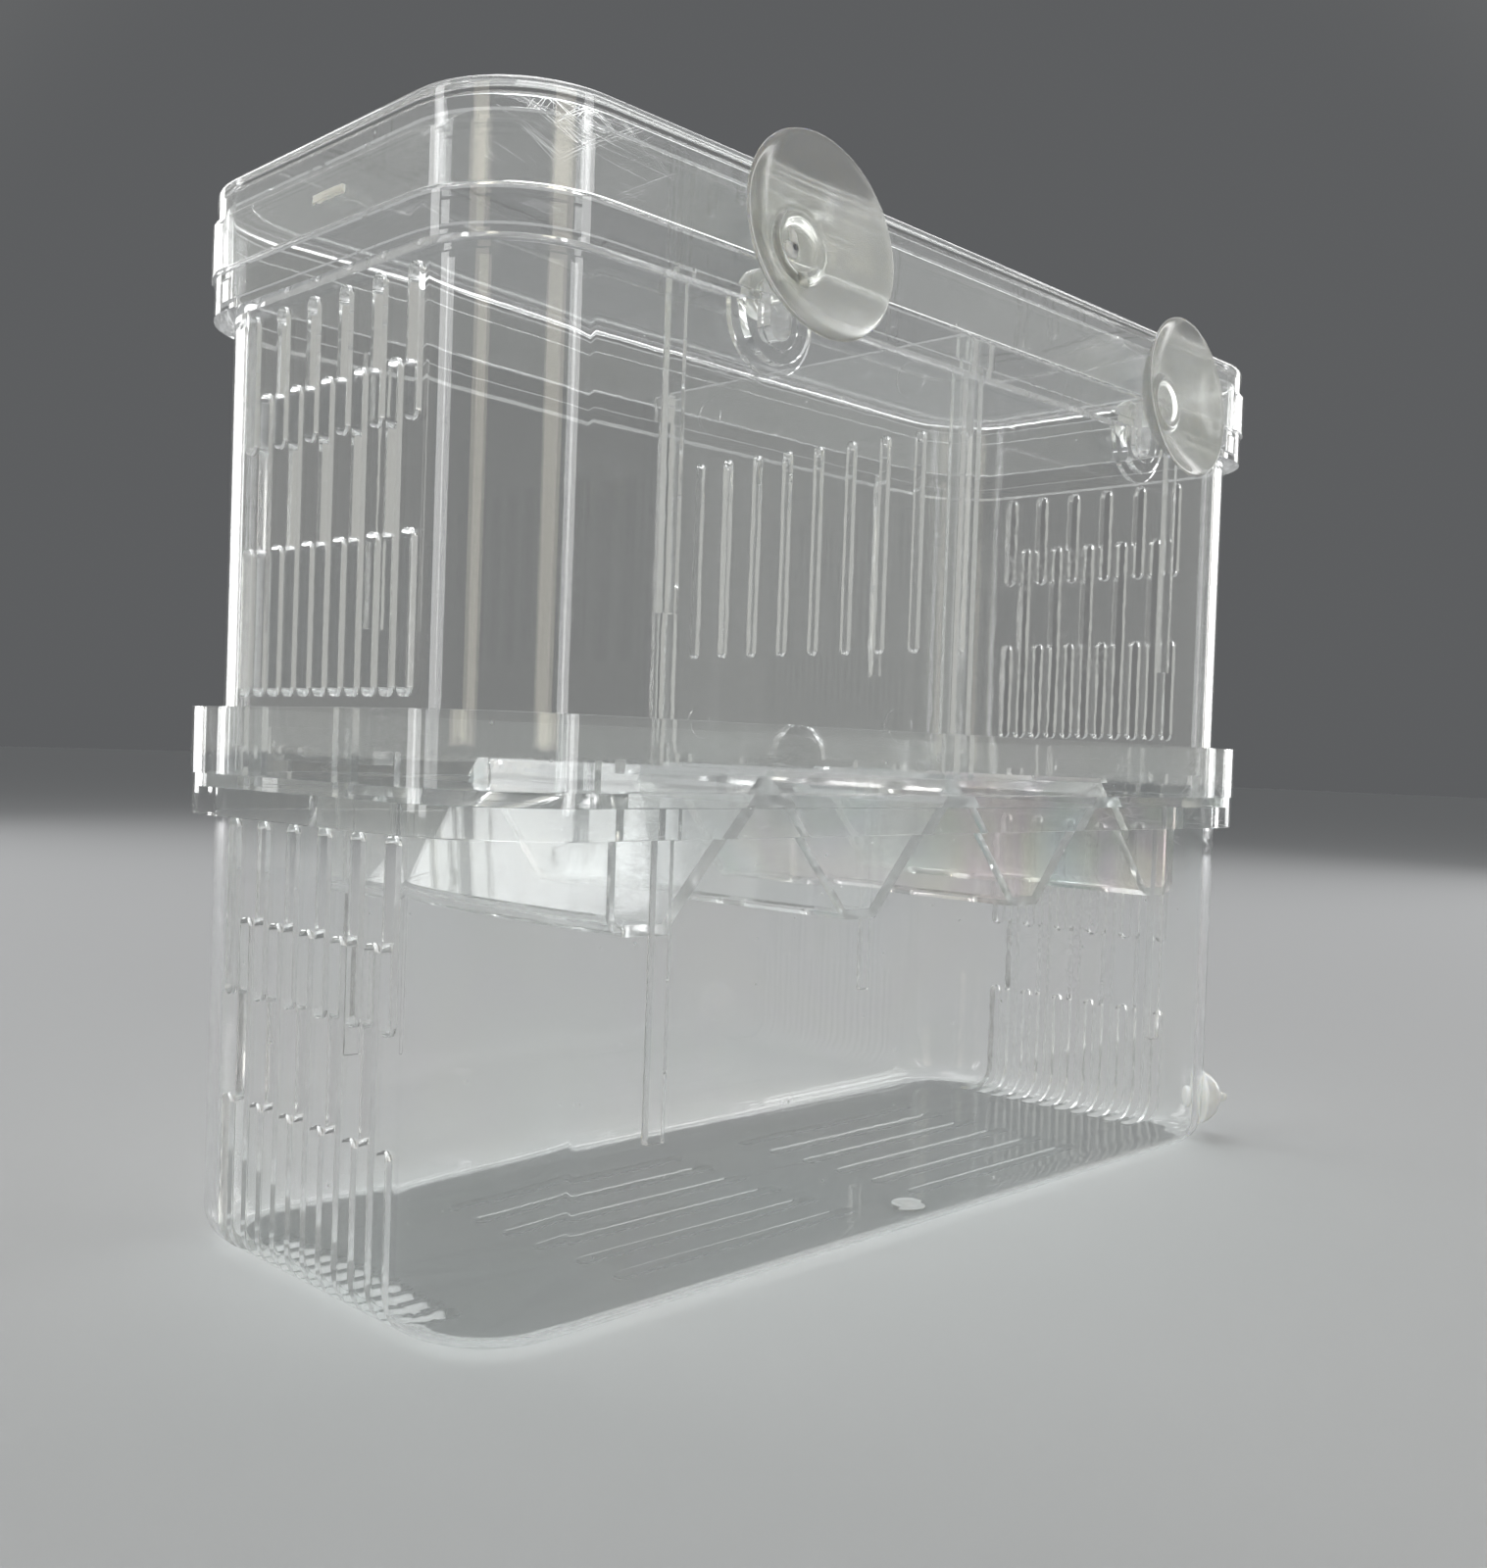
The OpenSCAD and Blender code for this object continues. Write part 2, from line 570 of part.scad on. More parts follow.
module v_tray() {
    row = slit_n * slit_l + (slit_n - 1) * slit_bar;
    tip = ridge_flat / 2 + (ridge_z - flange_top) / slope;
    color(clear_tint) {
        difference() {
            union() {
                block(rim_in_l - 2 * gap, rim_in_w - 2 * gap, rim_in_r - gap, shelf_z, flange_top);
                translate([0, trough_w / 2, 0]) rotate([90, 0, 0]) linear_extrude(trough_w) {
                    intersection() {
                        trough_row(0, flange_top);
                        translate([-trough_end_x, 0]) square([2 * trough_end_x, flange_top]);
                    }
                    for (i = [-1:1]) translate([i * trough_pitch, 0])
                        polygon([[-tip, flange_top - e], [tip, flange_top - e], [tip, flange_top],
                                 [ridge_flat / 2, ridge_z], [-ridge_flat / 2, ridge_z], [-tip, flange_top]]);
                }
            }
            translate([0, trough_w / 2 - trough_wall, 0]) rotate([90, 0, 0])
                linear_extrude(trough_w - 2 * trough_wall) trough_row(trough_wall, ridge_z + e);
            for (i = [-1.5:1:1.5], j = [0:slit_n - 1])
                translate([i * trough_pitch, (slit_l - row) / 2 + j * (slit_l + slit_bar), trough_foot - e])
                    linear_extrude(trough_wall + 2 * e) {
                        square([slit_w, slit_l - slit_w], center = true);
                        for (s = [-1, 1]) translate([0, s * (slit_l - slit_w) / 2]) circle(slit_w / 2);
                    }
            // notches that drop over the locating posts
            for (s = [-1, 1], t = [-1, 1])
                translate([s * (rim_in_l / 2 - (post_d + gap) / 2 + e / 2), t * post_y, shelf_z])
                    cube([post_d + gap + e, post_w + 2 * gap, 3 * flange_t], center = true);
        }
    }
}

module lower_box() {
    end_in = lower_l / 2 - lower_wall - floor_fillet;
    out = lower_l / 2 + e;
    run_in = lower_l / 2 - slot_floor_run;
    color(clear_tint) {
        difference() {
            union() {
                tub(lower_l, lower_w, lower_r, 0, ledge_z + e, floor_fillet);
                block(rim_l - 2 * rim_step, rim_w - 2 * rim_step, rim_r - rim_step, ledge_z, rim_step_z);
                block(rim_l, rim_w, rim_r, rim_step_z, rim_top);
            }
            tub(lower_l - 2 * lower_wall, lower_w - 2 * lower_wall, lower_r - lower_wall, floor_t,
                shelf_z + e, floor_fillet - lower_wall);
            block(rim_in_l, rim_in_w, rim_in_r, shelf_z, rim_top + e);
            for (y = outer_row) {
                end_slot(y, low_high_foot, ledge_z - gap, end_in, out);
                end_slot(y, -e - slot_w, low_low_top, end_in, out);
                floor_slot(y, run_in, out + slot_w, floor_t + floor_fillet);
            }
            for (y = inner_row) {
                end_slot(y, -e - slot_w, low_long_top, end_in, out);
                floor_slot(y, run_in, out + slot_w, floor_t + floor_fillet);
            }
            for (i = [0:floor_slot_n - 1])
                floor_slot(floor_slot_y + (i - (floor_slot_n - 1) / 2) * floor_slot_pitch, floor_slot_in,
                           floor_slot_out, floor_t + e);
            plug_place() cylinder(h = 2 * lower_r, r = stem_r + plug_gap, center = true);
        }
        for (s = [-1, 1], t = [-1, 1]) {
            translate([s * rib_x, t * (lower_w / 2 - lower_wall - rib_d / 2 + e / 2),
                       (rib_low_foot + shelf_z) / 2])
                cube([rib_w, rib_d + e, shelf_z - rib_low_foot], center = true);
            translate([s * (rim_in_l / 2 - post_d / 2 + e / 2), t * post_y, (shelf_z + rim_top) / 2])
                cube([post_d + e, post_w, rim_top - shelf_z], center = true);
        }
    }
}

// Places its children on the lower box's corner at +X and -Y, with +Z pointing out along the diagonal and
// the origin on the wall's outer face
module plug_place() {
    translate([lower_l / 2 - lower_r, -lower_w / 2 + lower_r, plug_z]) rotate([0, 90, -45])
        translate([0, 0, lower_r]) children();
}

// Section of the cup's bell: distance from its axis, and height over its back
module bell_section() {
    back = (cup_r * cup_r + cup_depth * cup_depth) / (2 * cup_depth);
    mouth = cup_r - lip_t;
    sag = cup_depth - hub_t;
    front = (mouth * mouth + sag * sag) / (2 * sag);
    difference() {
        intersection() {
            translate([0, back]) circle(back);
            square([cup_r + e, cup_depth]);
        }
        translate([0, hub_t + front]) circle(front);
    }
    translate([0, hub_t / 2]) square([hub_ring_r, hub_t / 2 + hub_ring_h]);
}

// Soft cup: knob and neck square to the wall, bell tilted up and turned as it hangs
module suction_cup(x, rise, turn, tilt) {
    back = (cup_r * cup_r + cup_depth * cup_depth) / (2 * cup_depth);
    neck_in = -upper_in_w / 2 + gap;
    neck_out = hub_y - 0.75 * hub_t - rise * sin(tilt) - back + sqrt(back * back - rise * rise);
    difference() {
        union() {
            translate([x, neck_in, neck_z]) rotate([90, 0, 0]) cylinder(h = neck_in - neck_out, r = neck_r);
            translate([x, neck_in, neck_z]) rotate([-90, 0, 0]) cylinder(h = knob_t, r = knob_r);
            translate([x - hub_side, hub_y, neck_z + rise]) rotate([90 - tilt, 0, -turn])
                rotate_extrude() bell_section();
        }
        translate([x - hub_side, hub_y, neck_z + rise]) rotate([90 - tilt, 0, -turn]) translate([0, 0, hub_t])
            cylinder(h = hub_ring_h + e, r = hub_dimple_r);
    }
}

module suction_cup_left() { color(soft_tint) suction_cup(-boss_x, left_rise, left_turn, left_tilt); }

module suction_cup_right() { color(soft_tint) suction_cup(boss_x, right_rise, right_turn, right_tilt); }

module corner_plug() {
    dome = (plug_r * plug_r + plug_out * plug_out) / (2 * plug_out);
    flange_r = stem_r + plug_flange;
    // the flange clears the curve of the corner and the curve into the floor, both inside
    inner_r = lower_r - lower_wall;
    in_fillet = floor_fillet - lower_wall;
    dip = max(0, floor_t + in_fillet - plug_z + flange_r);
    flange_at = lower_wall + inner_r - sqrt(inner_r * inner_r - flange_r * flange_r)
        + in_fillet - sqrt(in_fillet * in_fillet - dip * dip) + plug_gap;
    color(soft_tint) {
        difference() {
            plug_place() {
                rotate_extrude() intersection() {
                    translate([0, plug_out - dome]) circle(dome);
                    square([plug_r, plug_out]);
                }
                translate([0, 0, -plug_skirt]) cylinder(h = plug_skirt, r = plug_r);
                translate([0, 0, plug_out - nipple_r / 2]) cylinder(h = nipple_r, r = nipple_r);
                translate([0, 0, plug_out + nipple_r / 2]) sphere(nipple_r);
            }
            tub(lower_l + 2 * plug_gap, lower_w + 2 * plug_gap, lower_r + plug_gap, -plug_gap, ledge_z,
                floor_fillet + plug_gap);
        }
        plug_place() {
            translate([0, 0, -flange_at - plug_flange_t / 2])
                cylinder(h = flange_at + plug_flange_t / 2 + 1, r = stem_r);
            translate([0, 0, -flange_at - plug_flange_t]) cylinder(h = plug_flange_t, r = flange_r);
        }
    }
}

lid();
upper_box();
divider();
v_tray();
lower_box();
suction_cup_left();
suction_cup_right();
corner_plug();
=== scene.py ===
"""Looks of the two-tier fish breeding box: clear mouldings, milky suction cups and the soft corner plug."""

import json
import logging
import math
from collections.abc import Sequence
from dataclasses import dataclass
from enum import Enum

import bpy
from mathutils import Matrix, Vector, noise

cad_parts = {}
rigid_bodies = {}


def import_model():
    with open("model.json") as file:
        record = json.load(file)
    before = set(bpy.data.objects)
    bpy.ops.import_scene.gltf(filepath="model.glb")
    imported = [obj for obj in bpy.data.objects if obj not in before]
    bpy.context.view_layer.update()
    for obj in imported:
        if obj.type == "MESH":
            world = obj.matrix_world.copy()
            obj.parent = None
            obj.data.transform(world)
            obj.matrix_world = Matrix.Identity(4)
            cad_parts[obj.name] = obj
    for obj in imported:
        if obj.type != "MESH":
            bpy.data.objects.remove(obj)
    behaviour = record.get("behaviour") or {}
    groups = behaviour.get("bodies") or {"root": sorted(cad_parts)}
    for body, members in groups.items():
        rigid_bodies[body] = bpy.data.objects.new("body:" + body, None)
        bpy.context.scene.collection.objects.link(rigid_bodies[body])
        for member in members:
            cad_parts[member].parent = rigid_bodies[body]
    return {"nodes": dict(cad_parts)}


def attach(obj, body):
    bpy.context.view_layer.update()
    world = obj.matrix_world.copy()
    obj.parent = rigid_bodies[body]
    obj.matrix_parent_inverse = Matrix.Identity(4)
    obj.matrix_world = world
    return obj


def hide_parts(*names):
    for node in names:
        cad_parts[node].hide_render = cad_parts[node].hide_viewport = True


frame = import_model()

LOG = logging.getLogger("breeding_box")
MM = 0.001
Colour = tuple[float, float, float]
Place = tuple[float, float, float]


class Wear(Enum):
    """How much a moulding has been handled, as the strength of its scratches."""

    LIGHT = 0.35
    HANDLED = 0.7


# ---------------------------------------------------------------- node helpers


class Sheet:
    """Lays nodes out in one node tree and joins them up."""

    def __init__(self, tree: bpy.types.NodeTree) -> None:
        """Starts on an emptied tree.

        Args:
            tree: The node tree of a material, a world or a node group.
        """
        self.tree = tree
        self.count = 0
        tree.nodes.clear()

    def add(self, kind: str, **values: object) -> bpy.types.Node:
        """Adds a node and sets it up.

        Args:
            kind: The node's type without its ShaderNode prefix.
            values: Sockets by name with blanks as underscores, or properties of the node.

        Returns:
            The new node.
        """
        prefix = "" if kind.startswith("NodeGroup") else "ShaderNode"
        node = self.tree.nodes.new(prefix + kind)
        node.location = (220 * (self.count % 8), -260 * (self.count // 8))
        self.count += 1
        for key, value in values.items():
            socket = node.inputs.get(key.replace("_", " "))
            if socket is None:
                setattr(node, key, value)
            elif isinstance(value, bpy.types.NodeSocket):
                self.tree.links.new(value, socket)
            else:
                socket.default_value = value
        return node

    def join(self, source: bpy.types.NodeSocket, target: bpy.types.NodeSocket) -> None:
        """Links an output to an input."""
        self.tree.links.new(source, target)

    def sum(self, operation: str, first: object, second: object = 0.0, third: object = 0.0,
            clamp: bool = False) -> bpy.types.NodeSocket:
        """Adds a Math node.

        Args:
            operation: The node's operation, such as ADD.
            first: A socket or a number.
            second: A socket or a number.
            third: A socket or a number, for operations on three.
            clamp: Whether the result is kept from 0 to 1.

        Returns:
            The result's socket.
        """
        node = self.add("Math", operation=operation, use_clamp=clamp)
        for socket, value in zip(node.inputs, (first, second, third)):
            if isinstance(value, bpy.types.NodeSocket):
                self.tree.links.new(value, socket)
            else:
                socket.default_value = value
        return node.outputs[0]

    def band(self, value: object, low: float, high: float, start: float = 0.0,
             end: float = 1.0) -> bpy.types.NodeSocket:
        """Maps a value smoothly from low..high to start..end, clamped.

        Args:
            value: The socket that is mapped.
            low: Where the result is start.
            high: Where the result is end.
            start: The result at low.
            end: The result at high.

        Returns:
            The mapped value's socket.
        """
        node = self.add("MapRange", interpolation_type="SMOOTHSTEP")
        for socket, item in zip(node.inputs, (value, low, high, start, end)):
            if isinstance(item, bpy.types.NodeSocket):
                self.tree.links.new(item, socket)
            else:
                socket.default_value = item
        return node.outputs[0]


def new_group(name: str, inputs: Sequence[tuple[str, str, object]],
              outputs: Sequence[tuple[str, str]]) -> Sheet:
    """Makes an empty node group with its sockets.

    Args:
        name: The group's name.
        inputs: Each input's name, kind and default value.
        outputs: Each output's name and kind.

    Returns:
        The group's sheet, whose nodes begin with its Group Input and Group Output.
    """
    tree = bpy.data.node_groups.new(name, "ShaderNodeTree")
    for title, kind, value in inputs:
        socket = tree.interface.new_socket(title, in_out="INPUT", socket_type="NodeSocket" + kind)
        if value is not None:
            socket.default_value = value
    for title, kind in outputs:
        tree.interface.new_socket(title, in_out="OUTPUT", socket_type="NodeSocket" + kind)
    return Sheet(tree)


# ---------------------------------------------------------------- effects shared by the finishes


class Effects:
    """Node groups that more than one material places, each built once."""

    _built: dict[str, bpy.types.NodeTree] = {}

    @classmethod
    def get(cls, name: str) -> bpy.types.NodeTree:
        """Builds a group the first time it is asked for.

        Args:
            name: One of ripple, scratches and specks.

        Returns:
            The group's node tree.
        """
        if name not in cls._built:
            cls._built[name] = getattr(cls, name)()
        return cls._built[name]

    @staticmethod
    def ripple() -> bpy.types.NodeTree:
        """Slow waves that a mould leaves in a clear wall.

        Returns:
            A group from Position and Seed to Height, in millimetres.
        """
        sheet = new_group("mould_ripple", [("Position", "Vector", None), ("Seed", "Float", 0.0),
                                           ("Waves", "Float", 0.03), ("Orange Peel", "Float", 0.003)],
                          [("Height", "Float")])
        inputs = sheet.add("NodeGroupInput")
        outputs = sheet.add("NodeGroupOutput")
        slow = sheet.add("TexNoise", noise_dimensions="4D", Vector=inputs.outputs["Position"],
                         W=inputs.outputs["Seed"], Scale=55.0, Detail=1.0, Roughness=0.4)
        fine = sheet.add("TexNoise", noise_dimensions="4D", Vector=inputs.outputs["Position"],
                         W=inputs.outputs["Seed"], Scale=420.0, Detail=1.0, Roughness=0.5)
        waves = sheet.sum("MULTIPLY", slow.outputs["Fac"], inputs.outputs["Waves"])
        peel = sheet.sum("MULTIPLY", fine.outputs["Fac"], inputs.outputs["Orange Peel"])
        sheet.join(sheet.sum("ADD", waves, peel), outputs.inputs["Height"])
        return sheet.tree

    @staticmethod
    def scratches() -> bpy.types.NodeTree:
        """Fine straight scratches in three directions, thickest in patches.

        Returns:
            A group from Position, Seed and Amount to Mask.
        """
        sheet = new_group("fine_scratches", [("Position", "Vector", None), ("Seed", "Float", 0.0),
                                             ("Amount", "Float", 0.5)], [("Mask", "Float")])
        inputs = sheet.add("NodeGroupInput")
        outputs = sheet.add("NodeGroupOutput")
        patch = sheet.add("TexNoise", noise_dimensions="4D", Vector=inputs.outputs["Position"],
                          W=inputs.outputs["Seed"], Scale=38.0, Detail=2.0)
        worn = sheet.band(patch.outputs["Fac"], 0.52, 0.76)
        level, width = 0.36, 0.012
        total = None
        for turn, stretch, fine in (((0.3, 0.5, 0.2), 30.0, 1500.0), ((-0.6, 0.2, 1.2), 24.0, 1300.0),
                                    ((0.9, -0.7, 0.5), 40.0, 1700.0)):
            place = sheet.add("Mapping", vector_type="TEXTURE", Vector=inputs.outputs["Position"],
                              Rotation=turn)
            place.inputs["Scale"].default_value = (1 / stretch, 1 / stretch, 1 / fine)
            lines = sheet.add("TexNoise", noise_dimensions="4D", Vector=place.outputs[0],
                              W=inputs.outputs["Seed"], Scale=1.0, Detail=0.0)
            away = sheet.sum("ABSOLUTE", sheet.sum("SUBTRACT", lines.outputs["Fac"], level))
            thin = sheet.band(away, width, 0.0)
            total = thin if total is None else sheet.sum("MAXIMUM", total, thin)
        patches = sheet.sum("MULTIPLY", total, worn)
        scaled = sheet.sum("MULTIPLY", patches, inputs.outputs["Amount"], clamp=True)
        sheet.join(scaled, outputs.inputs["Mask"])
        return sheet.tree

    @staticmethod
    def specks() -> bpy.types.NodeTree:
        """Scattered specks of dust and lime.

        Returns:
            A group from Position, Scale and Amount to Mask.
        """
        sheet = new_group("dust_specks", [("Position", "Vector", None), ("Scale", "Float", 320.0),
                                          ("Amount", "Float", 0.5)], [("Mask", "Float")])
        inputs = sheet.add("NodeGroupInput")
        outputs = sheet.add("NodeGroupOutput")
        cells = sheet.add("TexVoronoi", feature="F1", Vector=inputs.outputs["Position"],
                          Scale=inputs.outputs["Scale"], Randomness=1.0)
        dot = sheet.band(cells.outputs["Distance"], 0.11, 0.05)
        parts = sheet.add("SeparateColor", Color=cells.outputs["Color"])
        some = sheet.band(parts.outputs[0], 0.93, 0.95)
        sown = sheet.sum("MULTIPLY", dot, some)
        scaled = sheet.sum("MULTIPLY", sown, inputs.outputs["Amount"], clamp=True)
        sheet.join(scaled, outputs.inputs["Mask"])
        return sheet.tree


# ---------------------------------------------------------------- finishes


@dataclass(frozen=True)
class ClearStyrene:
    """Clear moulded styrene: glossy, gently rippled, lightly scratched, faintly stressed in colour."""

    name: str
    tint: Colour = (0.985, 0.992, 0.992)
    seed: float = 0.0
    wear: Wear = Wear.HANDLED
    waves: float = 0.03
    gloss: float = 0.015
    haze: float = 0.02
    stress: float = 0.0
    stress_from: float = -1.0
    ior: float = 1.56

    def colours(self, sheet: Sheet, place: bpy.types.NodeSocket) -> bpy.types.NodeSocket:
        """Bands of faint pink and green, where the styrene set under stress.

        Args:
            sheet: The material's sheet.
            place: The place on the object.

        Returns:
            The colour's socket.
        """
        cloud = sheet.add("TexNoise", noise_dimensions="4D", Vector=place, W=self.seed + 3.0,
                          Scale=16.0, Detail=1.0)
        bands = sheet.add("ValToRGB", Fac=sheet.sum("PINGPONG", cloud.outputs["Fac"], 0.12))
        r, g, b = self.tint
        s = self.stress
        stops = bands.color_ramp.elements
        stops[0].position, stops[0].color = 0.0, (r, g - s, b - 0.45 * s, 1.0)
        stops[1].position, stops[1].color = 0.12, (r - 0.8 * s, g, b - 0.5 * s, 1.0)
        for position, colour in ((0.03, (r, g - 0.3 * s, b - s, 1.0)), (0.075, (r, g, b, 1.0)),
                                 (0.1, (r - 0.5 * s, g - 0.2 * s, b, 1.0))):
            stops.new(position).color = colour
        along = sheet.add("SeparateXYZ", Vector=place).outputs["X"]
        where = sheet.band(along, self.stress_from, self.stress_from + 0.03)
        tone = sheet.add("Mix", data_type="RGBA", blend_type="MIX")
        sheet.join(where, tone.inputs[0])
        tone.inputs[6].default_value = (r, g, b, 1.0)
        sheet.join(bands.outputs["Color"], tone.inputs[7])
        return tone.outputs[2]

    def material(self) -> bpy.types.Material:
        """Builds the material.

        Returns:
            A Principled glass that lets lamp light through.
        """
        mat = bpy.data.materials.new(self.name)
        mat.use_nodes = True
        sheet = Sheet(mat.node_tree)
        place = sheet.add("TexCoord").outputs["Object"]
        ripple = sheet.add("Group", node_tree=Effects.get("ripple"))
        scratch = sheet.add("Group", node_tree=Effects.get("scratches"))
        specks = sheet.add("Group", node_tree=Effects.get("specks"))
        for group in (ripple, scratch, specks):
            sheet.join(place, group.inputs["Position"])
        ripple.inputs["Seed"].default_value = self.seed
        ripple.inputs["Waves"].default_value = self.waves
        scratch.inputs["Seed"].default_value = self.seed
        scratch.inputs["Amount"].default_value = self.wear.value
        specks.inputs["Amount"].default_value = self.wear.value
        marks = sheet.sum("MAXIMUM", scratch.outputs["Mask"], specks.outputs["Mask"])
        rough = sheet.band(marks, 0.0, 1.0, self.gloss, 0.5)
        cut = sheet.sum("MULTIPLY_ADD", scratch.outputs["Mask"], -0.004, ripple.outputs["Height"])
        bump = sheet.add("Bump", Strength=1.0, Distance=MM, Height=cut)
        body = sheet.add("BsdfPrincipled", Base_Color=(*self.tint, 1.0), Roughness=rough,
                         Normal=bump.outputs["Normal"])
        if self.stress > 0.0:
            sheet.join(self.colours(sheet, place), body.inputs["Base Color"])
        body.inputs["IOR"].default_value = self.ior
        body.inputs["Transmission Weight"].default_value = 1.0 - self.haze
        path = sheet.add("LightPath")
        film = sheet.add("BsdfTransparent", Color=(0.97, 0.98, 0.98, 1.0))
        mix = sheet.add("MixShader")
        sheet.join(path.outputs["Is Shadow Ray"], mix.inputs[0])
        sheet.join(body.outputs[0], mix.inputs[1])
        sheet.join(film.outputs[0], mix.inputs[2])
        out = sheet.add("OutputMaterial")
        sheet.join(mix.outputs[0], out.inputs["Surface"])
        return mat


@dataclass(frozen=True)
class MilkyVinyl:
    """Soft milky vinyl: translucent, satin, with faint flow clouds."""

    name: str
    colour: Colour = (0.94, 0.945, 0.91)
    clear: float = 0.9
    rough: float = 0.17
    seed: float = 0.0

    def material(self) -> bpy.types.Material:
        """Builds the material.

        Returns:
            A Principled mix of frosted transmission and scattering.
        """
        mat = bpy.data.materials.new(self.name)
        mat.use_nodes = True
        sheet = Sheet(mat.node_tree)
        place = sheet.add("TexCoord").outputs["Object"]
        ripple = sheet.add("Group", node_tree=Effects.get("ripple"))
        sheet.join(place, ripple.inputs["Position"])
        ripple.inputs["Seed"].default_value = self.seed
        ripple.inputs["Waves"].default_value = 0.02
        ripple.inputs["Orange Peel"].default_value = 0.002
        cloud = sheet.add("TexNoise", noise_dimensions="4D", Vector=place, W=self.seed,
                          Scale=60.0, Detail=1.5)
        rough = sheet.band(cloud.outputs["Fac"], 0.3, 0.75, self.rough - 0.04, self.rough + 0.05)
        tone = sheet.add("ValToRGB", Fac=cloud.outputs["Fac"])
        r, g, b = self.colour
        stops = tone.color_ramp.elements
        stops[0].position, stops[0].color = 0.3, (r * 0.95, g * 0.95, b * 0.93, 1.0)
        stops[1].position, stops[1].color = 0.7, (min(r * 1.03, 1), min(g * 1.03, 1), min(b * 1.04, 1), 1.0)
        bump = sheet.add("Bump", Strength=1.0, Distance=MM, Height=ripple.outputs["Height"])
        body = sheet.add("BsdfPrincipled", Base_Color=tone.outputs["Color"], Roughness=rough,
                         Normal=bump.outputs["Normal"])
        body.inputs["IOR"].default_value = 1.45
        body.inputs["Transmission Weight"].default_value = self.clear
        body.inputs["Subsurface Weight"].default_value = 1.0
        body.inputs["Subsurface Radius"].default_value = (1.0, 0.95, 0.85)
        body.inputs["Subsurface Scale"].default_value = 1.5 * MM
        out = sheet.add("OutputMaterial")
        sheet.join(body.outputs[0], out.inputs["Surface"])
        return mat


# ---------------------------------------------------------------- modelling helpers


def only(piece: bpy.types.Object) -> None:
    """Deselects everything, then selects one object and makes it active."""
    for other in bpy.context.scene.objects:
        other.select_set(False)
    bpy.context.view_layer.objects.active = piece
    piece.select_set(True)


def edit(piece: bpy.types.Object, mode: str = "VERT") -> None:
    """Enters edit mode on one object with everything in it selected.

    Args:
        piece: The mesh object.
        mode: The select mode, VERT, EDGE or FACE.
    """
    only(piece)
    bpy.ops.object.mode_set(mode="EDIT")
    bpy.ops.mesh.select_mode(type=mode)
    bpy.ops.mesh.select_all(action="SELECT")


def leave() -> None:
    """Goes back to object mode."""
    bpy.ops.object.mode_set(mode="OBJECT")


def finish_with(piece: bpy.types.Object, kind: str, **values: object) -> None:
    """Adds a modifier and applies it.

    Args:
        piece: The mesh object.
        kind: The modifier's type, such as BEVEL.
        values: The modifier's settings.
    """
    only(piece)
    mod = piece.modifiers.new(kind.lower(), kind)
    for key, value in values.items():
        setattr(mod, key, value)
    bpy.ops.object.modifier_apply(modifier=mod.name)


def rounded(piece: bpy.types.Object) -> None:
    """Subdivides a soft or worn piece once and shades it smooth."""
    finish_with(piece, "SUBSURF", levels=1, render_levels=1)
    only(piece)
    bpy.ops.object.shade_smooth()


def settle(piece: bpy.types.Object, place: Matrix) -> None:
    """Moves a piece's mesh to its place, so that its object stays at the origin.

    Args:
        piece: The mesh object, at the origin.
        place: Where it goes, in the row frame.
    """
    piece.data.transform(place)
    piece.data.update()


def turned(profile: Sequence[tuple[float, float]], name: str, steps: int = 72) -> bpy.types.Object:
    """Spins a profile about the Z axis into a closed form.

    Args:
        profile: Distances from the axis and heights, in millimetres, from the axis round to the axis.
        name: The piece's name.
        steps: How many steps the turn takes.

    Returns:
        The new object, at the origin.
    """
    first = profile[0]
    bpy.ops.object.select_all(action="DESELECT")
    bpy.ops.mesh.primitive_plane_add(size=MM, location=(first[0] * MM, 0, first[1] * MM))
    piece = bpy.context.object
    piece.name = piece.data.name = name
    bpy.ops.object.transform_apply(location=True, rotation=True, scale=True)
    edit(piece)
    bpy.ops.mesh.merge(type="CENTER")
    for (x0, z0), (x1, z1) in zip(profile, profile[1:]):
        bpy.ops.mesh.extrude_region_move(
            TRANSFORM_OT_translate={"value": ((x1 - x0) * MM, 0, (z1 - z0) * MM)})
    bpy.ops.mesh.select_all(action="SELECT")
    bpy.ops.mesh.spin(steps=steps, angle=2 * math.pi, center=(0, 0, 0), axis=(0, 0, 1))
    bpy.ops.mesh.select_all(action="SELECT")
    bpy.ops.mesh.remove_doubles(threshold=1e-6)
    bpy.ops.mesh.normals_make_consistent(inside=False)
    leave()
    return piece


def dress(piece: bpy.types.Object, finish: bpy.types.Material, body: str) -> bpy.types.Object:
    """Gives a piece its material and body.

    Args:
        piece: The mesh object.
        finish: Its material.
        body: The CAD body that it rides on.

    Returns:
        The same object.
    """
    piece.data.materials.clear()
    piece.data.materials.append(finish)
    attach(piece, body)
    return piece


# ---------------------------------------------------------------- the clear mouldings


